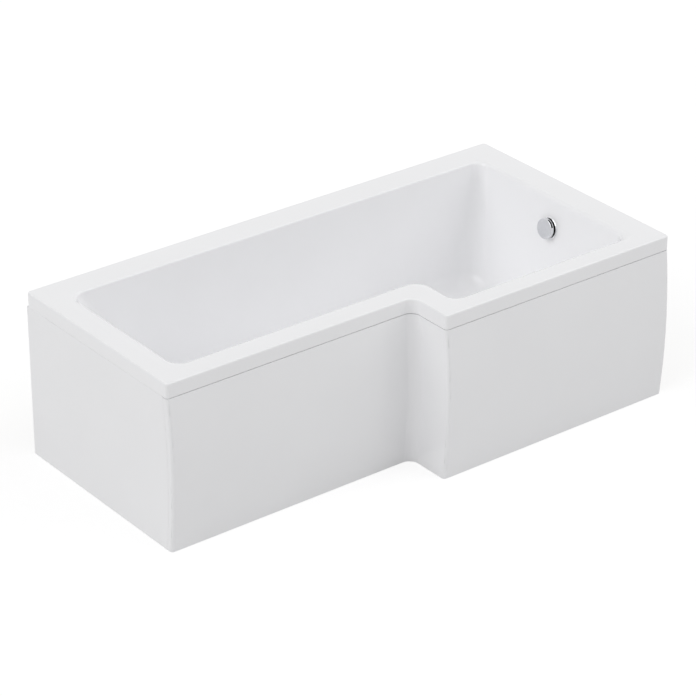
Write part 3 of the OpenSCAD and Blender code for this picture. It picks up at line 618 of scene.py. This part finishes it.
def basin_outlines(behind):
    """The basin's rings from the rim to its floor, at a distance behind its inner face."""
    rolls = [max(r - behind, LEAST_ROLL) for r in ROLL_R]
    sections = [
        section(rolls[i], LEAN[i], FILLET_R[i] + behind, RIM_Z - behind, FLOOR_Z - behind)
        for i in range(SIDES)
    ]
    outlines = []
    for k in range(len(sections[0])):
        heights = [side[k][1] for side in sections]
        edges, radii = [], []
        for i in range(SIDES):
            start = LAND[i] - behind - rolls[i] + ROLL_R[i]
            edges.append(OUTER_EDGES[i] + INWARD[i] * (start + sections[i][k][0]))
            depth = (RIM_Z - behind - (heights[i] + heights[(i + 1) % SIDES]) / 2) / BASIN_D
            grow = -behind if i == REENTRANT else behind
            radii.append((1 - depth) * TOP_RADII[i] + depth * FLOOR_RADII[i] + grow)
        outlines.append(Outline(edges, radii, heights))
    return outlines


def fallen(point):
    """Lifts a point of the inner face by the fall of the floor."""
    share = max(0.0, (FALL_END_X - point.x) / (FALL_END_X - FALL_START_X))
    return point + Vector((0, 0, FALL * share * (RIM_Z - point.z) / BASIN_D))


print("basin floor at", round(FLOOR_Z, 3), "lip down to", round(LIP_Z, 3))

# %% [markdown]
# Now the sheet is grown. The first ring is a circle with as many points as the outline, and every
# point remembers its corner and how far round it lies in two layers of the mesh. Extruding the ring
# copies those layers, so each new ring is placed without looking up its order. The path starts at the
# inside of the floor, climbs the basin, crosses the rim, turns down the lip and comes back under it
# to the outside of the floor. What lies behind the lip gets the backing, the rest the gloss.

# %% Grow the sheet ring by ring
GLOSS, BACKING = 0, 1
EDGE_STEPS = 8
LIP_ROUND = 0.6 * MM
LIP_FILLET = 4 * MM
LIP_STEPS = 3
RING_POINTS = SIDES * (CORNER_STEPS + 1)


def arc_outlines(inset, z, radius, start, end, steps):
    """Rings round an arc of the section, about a centre given by its inset and height."""
    outlines = []
    for i in range(steps + 1):
        angle = radians(start + (end - start) * i / steps)
        outlines.append(inset_outline(inset - radius * cos(angle), z + radius * sin(angle)))
    return outlines


def put(ring, outline, adjust):
    """Moves a ring's vertices onto an outline."""
    for v in ring:
        point = outline.point(round(v[corner_layer]), v[part_layer])
        v.co = adjust(point) if adjust else point


def extrude_ring(bm, edges):
    """Extrudes an open ring and returns the new ring's edges and vertices."""
    made = bmesh.ops.extrude_edge_only(bm, edges=edges)["geom"]
    new_edges = [g for g in made if isinstance(g, bmesh.types.BMEdge) and g.is_boundary]
    return new_edges, [g for g in made if isinstance(g, bmesh.types.BMVert)]


bm = bmesh.new()
corner_layer = bm.verts.layers.float.new("corner")
part_layer = bm.verts.layers.float.new("part")
ring = bmesh.ops.create_circle(bm, segments=RING_POINTS, radius=1)["verts"]
for i, v in enumerate(ring):
    v[corner_layer] = i // (CORNER_STEPS + 1)
    v[part_layer] = (i % (CORNER_STEPS + 1)) / CORNER_STEPS

inside = basin_outlines(0)
inside.reverse()
rounded_edge = arc_outlines(EDGE_R, RIM_Z - EDGE_R, EDGE_R, 90, 0, EDGE_STEPS)
lip_foot = arc_outlines(LIP_ROUND, LIP_Z + LIP_ROUND, LIP_ROUND, 0, -90, LIP_STEPS)
lip_back = arc_outlines(SHELL_T - LIP_ROUND, LIP_Z + LIP_ROUND, LIP_ROUND, -90, -180, LIP_STEPS)
under = arc_outlines(SHELL_T + LIP_FILLET, UNDER_RIM_Z - LIP_FILLET, LIP_FILLET, 0, 90, LIP_STEPS)
path = [(outline, fallen, GLOSS) for outline in inside]
path += [(outline, None, GLOSS) for outline in rounded_edge + lip_foot + lip_back[:1]]
path += [(outline, None, BACKING) for outline in lip_back[1:] + under + basin_outlines(SHELL_T)]

put(ring, path[0][0], fallen)
inner_floor = list(bm.edges)
edges = inner_floor
for outline, adjust, material in path[1:]:
    edges, ring = extrude_ring(bm, edges)
    put(ring, outline, adjust)
    for edge in edges:
        edge.link_faces[0].material_index = material
outer_floor = edges
print(len(path), "rings of", RING_POINTS, "points")

# %% [markdown]
# The floor and the wall still need their holes. Each is cut the same way: a circle is laid on the
# face, the face is filled between its border and the circle, and the circle is extruded through the
# sheet until it becomes the hole in the other side. At the waste it first steps down, round a soft lip,
# into the shallow recess that the flange sits in. A boolean cut would do it too, but it leaves slivers
# where it meets a curved sheet.

# %% Cut the waste and the overflow
HOLE_R = 26 * MM
HOLE_STEPS = 64
RECESS_R = 38 * MM
RECESS_LIP = 1.2 * MM
RECESS_STEPS = 3
RECESS_Z = FLOOR_Z - 2.5 * MM
WASTE_X = 560 * MM
WASTE = Vector((WASTE_X, (WIDE_Y + LAND[WIDE_FRONT] + BACK_Y - LAND[BACK]) / 2, 0))
OVERFLOW_DROP = 96 * MM

# The overflow lies in the straight part of the tap end's inner face, so its place follows from the lean.
tap_lean = LEAN[TAP_END]
tap_roll = ROLL_R[TAP_END]
below_roll = OVERFLOW_DROP - tap_roll * (1 - sin(tap_lean))
overflow_x = TAP_X - LAND[TAP_END] - tap_roll * cos(tap_lean) - below_roll * tan(tap_lean)
OVERFLOW = Vector((overflow_x, WASTE.y, RIM_Z - OVERFLOW_DROP))
OVERFLOW_AXIS = Vector((-cos(tap_lean), 0, sin(tap_lean)))


def hole_circle(bm, centre, axis, radius):
    """A loose circle across an axis."""
    turn = axis.to_track_quat("Z", "Y").to_matrix().to_4x4()
    made = bmesh.ops.create_circle(
        bm, segments=HOLE_STEPS, radius=radius, matrix=Matrix.Translation(centre) @ turn
    )["verts"]
    return list(dict.fromkeys(e for v in made for e in v.link_edges))


def fill_round(bm, border, hole, material):
    """Fills flat faces between a border and a hole in it."""
    made = bmesh.ops.triangle_fill(bm, edges=border + hole, use_beauty=True)["geom"]
    for face in made:
        if isinstance(face, bmesh.types.BMFace):
            face.material_index = material


def open_face(bm, point):
    """Removes the four-sided face that lies round a point and returns its border."""
    four_sided = [f for f in bm.faces if len(f.verts) == 4]
    face = min(four_sided, key=lambda f: (f.calc_center_median() - point).length)
    border = list(face.edges)
    bmesh.ops.delete(bm, geom=[face], context="FACES_ONLY")
    return border


def narrow(v, radius, z):
    """Moves a vertex of the waste's hole to a radius and a height."""
    out = (v.co - WASTE).xy.normalized()
    v.co = (WASTE.x + out.x * radius, WASTE.y + out.y * radius, z)


hole = hole_circle(bm, WASTE + Vector((0, 0, FLOOR_Z)), Vector((0, 0, 1)), RECESS_R + RECESS_LIP)
for v in {v for e in hole for v in e.verts}:
    v.co = fallen(v.co)
fill_round(bm, inner_floor, hole, GLOSS)
for i in range(1, RECESS_STEPS + 1):
    angle = pi / 2 * i / RECESS_STEPS
    hole, ring = extrude_ring(bm, hole)
    for v in ring:
        floor_z = fallen(Vector((v.co.x, v.co.y, FLOOR_Z))).z
        narrow(v, RECESS_R + RECESS_LIP * (1 - sin(angle)), floor_z - RECESS_LIP * (1 - cos(angle)))
for radius, z in ((RECESS_R, RECESS_Z), (HOLE_R, RECESS_Z), (HOLE_R, FLOOR_Z - SHELL_T)):
    hole, ring = extrude_ring(bm, hole)
    for v in ring:
        narrow(v, radius, z)
fill_round(bm, outer_floor, hole, BACKING)

hole = hole_circle(bm, OVERFLOW, OVERFLOW_AXIS, HOLE_R)
fill_round(bm, open_face(bm, OVERFLOW), hole, GLOSS)
hole, ring = extrude_ring(bm, hole)
bmesh.ops.translate(bm, verts=ring, vec=-OVERFLOW_AXIS * SHELL_T)
fill_round(bm, open_face(bm, OVERFLOW - OVERFLOW_AXIS * SHELL_T), hole, BACKING)
print("open edges left:", sum(e.is_boundary for e in bm.edges))

# %% [markdown]
# The mesh is closed, so its faces can be turned to point outwards. Shading is smooth, except over
# edges that are really sharp. A large flat face next to a narrow rounded one would look swollen if the
# normals at their shared edge were a plain average, so a modifier weights them by the faces' size.

# %% Finish the shell
SHARP = radians(38)
LARGE_FACE_WEIGHT = 60


def finish_mesh(bm, name, materials):
    """Turns a closed mesh outwards, shades it and links it as a piece."""
    bmesh.ops.recalc_face_normals(bm, faces=bm.faces)
    for face in bm.faces:
        face.smooth = True
    for edge in bm.edges:
        edge.smooth = edge.calc_face_angle(pi) < SHARP
    mesh = bpy.data.meshes.new(name)
    bm.to_mesh(mesh)
    bm.free()
    for material in materials:
        mesh.materials.append(material)
    piece = bpy.data.objects.new(name, mesh)
    scene.collection.objects.link(piece)
    return piece


shell = finish_mesh(bm, "moulded_shell", [shell_acrylic, backing.material])
weighting = shell.modifiers.new("weighted_normals", "WEIGHTED_NORMAL")
weighting.keep_sharp = True
weighting.mode = "FACE_AREA"
weighting.weight = LARGE_FACE_WEIGHT
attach(shell, "bath")
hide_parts("bath_shell")
print("shell:", len(shell.data.polygons), "faces")

# %% [markdown]
# ## The end panel
#
# The end panel is a flat sheet. Its top turns in as a ledge close under the lip, and a tongue on the
# ledge stands up behind the lip, so all that shows is a hairline of a seam. The frame's panel leaves a
# wider seam there and is right everywhere else, so it isn't drawn anew. A copy of its mesh is taken, the
# loose triangles are merged, and the ledge with its tongue is lifted by the difference. The frame's own
# mesh stays as it is.

# %% Lift the end panel's ledge to the lip
END_SEAM = 0.2 * MM
FRAME_SEAM = 2 * MM
LEDGE_Z = LIP_Z - 10 * MM
MERGE_DISTANCE = 0.001 * MM

bm = bmesh.new()
bm.from_mesh(NODES["end_panel"].data)
bmesh.ops.remove_doubles(bm, verts=bm.verts, dist=MERGE_DISTANCE)
ledge = [v for v in bm.verts if v.co.z > LEDGE_Z]
bmesh.ops.translate(bm, verts=ledge, vec=(0, 0, FRAME_SEAM - END_SEAM))
end_panel = finish_mesh(bm, "flat_end_panel", [panel_acrylic])
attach(end_panel, "bath")
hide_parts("end_panel")
print("end panel:", len(end_panel.data.polygons), "faces,", len(ledge), "points lifted")

# %% [markdown]
# ## The overflow knob
#
# The knob is a chrome cap on a black neck, which turns just clear of a chrome ring at the wall. It is a
# turned shape, so half of its section, spun round the axis, is the whole piece, and a small bevel rounds
# every corner. It could be built of stacked cylinders, but these would leave faces inside. A slot in the
# cap's side lets the water in. It is a patch of the side, inset a little and pushed inwards. The neck,
# the inside and the slot are black nylon, made near black with almost no shine. The neck reaches down
# into the gap above the ring, and there and inside the cap this black is painted shade under the cap.
# In the slot it is a painted dark reflection on the cap's side.

# %% Turn the knob
KNOB_STEPS = 96
CHROMED, NYLON_PAINTED_SHADE = 0, 1
CAP_R = 32 * MM
NECK_TOP = 10.7 * MM
INSIDE_R = 30.2 * MM
FACE_Z = 21 * MM
# The slot lies between these heights and angles on the cap's side; its black is a painted dark reflection.
SLOT_Z = (13.5 * MM, 19.4 * MM)
SLOT_ANGLES = (22, 75)
SLOT_DEPTH = 3 * MM
SLOT_TAPER = 0.1 * MM
SIDE_SAG = 0.3 * MM
KNOB_BEVEL = 0.2 * MM
KNOB_CORNER = radians(30)
# The section from the middle of the face to the end of the spigot: radius and height in millimetres.
# The neck at radius 31 mm reaches down to 3 mm, into the gap above the wall ring, so its black fills that
# gap as painted shade.
KNOB_SECTION = (
    (0, 21), (30.9, 21), (31.7, 20.7), (32, 19.9), (32, 19.4), (32, 13.5), (32, 10.8), (31, 10.6), (31, 3),
    (28, 3), (28, 18), (8, 18), (8, 2), (5, 2), (5, -26), (4, -27), (0, -27),
)

bm = bmesh.new()
profile = [bm.verts.new((r * MM, 0, z * MM)) for r, z in KNOB_SECTION]
lines = [bm.edges.new(pair) for pair in zip(profile, profile[1:])]
bmesh.ops.spin(
    bm, geom=profile + lines, cent=(0, 0, 0), axis=(0, 0, 1), angle=2 * pi, steps=KNOB_STEPS,
    use_merge=True,
)
bmesh.ops.remove_doubles(bm, verts=bm.verts, dist=MERGE_DISTANCE)
bmesh.ops.recalc_face_normals(bm, faces=bm.faces)


def in_slot(face):
    """Whether a face of the cap's side belongs to the slot."""
    middle = face.calc_center_median()
    around = degrees(atan2(middle.y, middle.x))
    on_side = middle.xy.length > CAP_R - SIDE_SAG
    return on_side and SLOT_Z[0] < middle.z < SLOT_Z[1] and SLOT_ANGLES[0] < around < SLOT_ANGLES[1]


# The neck and the inside are made near black: painted shade under the cap.
for face in bm.faces:
    middle = face.calc_center_median()
    black = middle.z < NECK_TOP or (middle.xy.length < INSIDE_R and middle.z < FACE_Z - MM)
    face.material_index = NYLON_PAINTED_SHADE if black else CHROMED
slot = [face for face in bm.faces if in_slot(face)]
walls = bmesh.ops.inset_region(bm, faces=slot, thickness=SLOT_TAPER, depth=-SLOT_DEPTH)["faces"]
# The slot is made near black too: a painted dark reflection on the cap's side.
for face in slot + walls:
    face.material_index = NYLON_PAINTED_SHADE
corners = [e for e in bm.edges if e.is_manifold and e.calc_face_angle() > KNOB_CORNER]
bmesh.ops.bevel(
    bm, geom=corners, offset=KNOB_BEVEL, segments=2, affect="EDGES", profile=0.5, material=-1,
    clamp_overlap=True,
)
upwards = Vector((sin(tap_lean), 0, cos(tap_lean)))
axes = Matrix((Vector((0, -1, 0)), upwards, OVERFLOW_AXIS)).transposed()
bmesh.ops.transform(bm, matrix=Matrix.Translation(OVERFLOW) @ axes.to_4x4(), verts=bm.verts)
knob = finish_mesh(bm, "overflow_cap", [chrome.material, FINISHES["black_plastic"]])
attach(knob, "knob")
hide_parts("overflow_knob")
print("knob:", len(knob.data.polygons), "faces,", len(slot), "of them in the slot")

# %% [markdown]
# ## The ribbed hose and the lift cable
#
# Behind the tap end a corrugated hose leads from the overflow down to the waste, and beside it runs the
# thin cable that lifts the plug. Both drop straight down, turn through a quarter circle and run level
# into the waste. A curve with a round bevel would give a plain tube, but neither ribs nor a bore. So a
# ring is extruded from station to station, and every station says how far along it lies and how wide it
# is: the same sweep makes the plain cuffs, the ribs and the cable. At the far end the rings turn back
# inside as the bore, and the last one is joined to the first.

# %% Sweep along a drop, a quarter bend and a level run
END_GAP = 0.05 * MM


class Route:
    """A drop from a start point, a quarter bend and a level run towards -X."""

    def __init__(self, start, drop, bend_radius, run):
        self.start = start
        self.drop = drop
        self.bend_radius = bend_radius
        self.bend = bend_radius * pi / 2
        self.length = drop + self.bend + run

    def places(self, steps):
        """Even stations along the route, which keep a small gap from both ends."""
        return [END_GAP + (self.length - 2 * END_GAP) * i / steps for i in range(steps + 1)]

    def point(self, along, out, angle):
        """A point at a distance along the route, out from its middle, at an angle round it."""
        turned = min(max((along - self.drop) / self.bend, 0), 1) * pi / 2
        level = max(along - self.drop - self.bend, 0)
        middle = self.start + Vector((
            -self.bend_radius * (1 - cos(turned)) - level,
            0,
            -min(along, self.drop) - self.bend_radius * sin(turned),
        ))
        across = Vector((cos(turned), 0, sin(turned)))
        return middle + (across * cos(angle) + Vector((0, sin(angle), 0))) * out


def sweep_tube(name, route, outside, bore, sides, material):
    """A tube along a route. outside and bore are stations: how far along, and how far out."""
    bm = bmesh.new()
    angle_layer = bm.verts.layers.float.new("angle")
    ring = bmesh.ops.create_circle(bm, segments=sides, radius=1)["verts"]
    for i, v in enumerate(ring):
        v[angle_layer] = 2 * pi * i / sides
    first = edges = list(bm.edges)
    for k, (along, out) in enumerate(outside + bore[::-1]):
        if k:
            edges, ring = extrude_ring(bm, edges)
        for v in ring:
            v.co = route.point(along, out, v[angle_layer])
    bmesh.ops.bridge_loops(bm, edges=first + edges)
    return finish_mesh(bm, name, [material])


# %% [markdown]
# The hose is blow-moulded from soft white plastic. Its ribs are rounded and stand close together, with
# narrower valleys between them, which a sine raised to a power below one gives. Cuffs without ribs seat
# in the nuts at both ends.

# %% Make the hose
INLET_Z = 92 * MM
BEHIND_FACE = 30 * MM
HOSE_TOP_DROP = 52 * MM
HOSE_START = Vector((OVERFLOW.x + cos(tap_lean) * BEHIND_FACE, WASTE.y, OVERFLOW.z - HOSE_TOP_DROP))
HOSE_BEND_R = 100 * MM
HOSE_END_X = WASTE.x + 54 * MM
HOSE_SIDES = 32
CUFF_L = 34 * MM
CUFF_R = 16 * MM
CUFF_TAPER = 0.4 * MM
CUFF_EDGE = 0.5 * MM
RIBS = 76
RIB_STEPS = 6
RIB_POWER = 0.7
ROOT_R = 14.8 * MM
CREST_R = 17 * MM
BORE_R = 12.6 * MM
BORE_STEPS = 60

hose_route = Route(
    HOSE_START,
    HOSE_START.z - INLET_Z - HOSE_BEND_R,
    HOSE_BEND_R,
    HOSE_START.x - HOSE_BEND_R - HOSE_END_X,
)
pitch = (hose_route.length - 2 * CUFF_L) / RIBS
cuff = [(END_GAP, CUFF_R - CUFF_TAPER), (END_GAP + CUFF_EDGE, CUFF_R), (CUFF_L - CUFF_EDGE, CUFF_R)]
stations = list(cuff)
for i in range(RIBS * RIB_STEPS + 1):
    rise = abs(sin(pi * i / RIB_STEPS)) ** RIB_POWER
    stations.append((CUFF_L + pitch * i / RIB_STEPS, ROOT_R + (CREST_R - ROOT_R) * rise))
stations += [(hose_route.length - along, out) for along, out in reversed(cuff)]
bore = [(along, BORE_R) for along in hose_route.places(BORE_STEPS)]
hose = sweep_tube("ribbed_overflow_hose", hose_route, stations, bore, HOSE_SIDES, FINISHES["white_plastic"])
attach(hose, "bath")
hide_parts("overflow_hose")
print("hose:", round(hose_route.length, 3), "m long,", len(hose.data.polygons), "faces")

# %% [markdown]
# The cable is of the kind that works a bicycle's brake: a round black sheath with a wire in it. Its ends
# sit in short plastic sleeves on the overflow's body and on the waste's, so only the sheath is seen.

# %% Make the cable
CABLE_R = 2.5 * MM
CABLE_BORE_R = 1 * MM
CABLE_BEND_R = 110 * MM
CABLE_STEPS = 90
CABLE_SIDES = 24
CABLE_ASIDE = 26 * MM
CABLE_TOP_DROP = 34 * MM
CABLE_START = Vector((HOSE_START.x, WASTE.y + CABLE_ASIDE, OVERFLOW.z - CABLE_TOP_DROP))
CABLE_END_X = WASTE.x + 42 * MM

cable_route = Route(
    CABLE_START,
    CABLE_START.z - INLET_Z - CABLE_BEND_R,
    CABLE_BEND_R,
    CABLE_START.x - CABLE_BEND_R - CABLE_END_X,
)
sheath = [(along, CABLE_R) for along in cable_route.places(CABLE_STEPS)]
bore = [(along, CABLE_BORE_R) for along in cable_route.places(CABLE_STEPS)]
cable = sweep_tube("lift_cable_sheath", cable_route, sheath, bore, CABLE_SIDES, FINISHES["cable_sheath"])
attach(cable, "bath")
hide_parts("lift_cable")
print("cable:", round(cable_route.length, 3), "m long")

# %% [markdown]
# ## The size
#
# The pieces made here stand for pieces of the frame, so together they have to fill the same space. Two
# boxes tell whether they do: the frame's own, kept from the start, and that of everything as it is now.
# They are written down side by side, so a piece that reaches too far shows at once.

# %% Write both boxes and finish
low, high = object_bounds()
for title, box in (("frame", cad_high - cad_low), ("with the new pieces", high - low)):
    print(title, [round(side, 4) for side in box], "m")
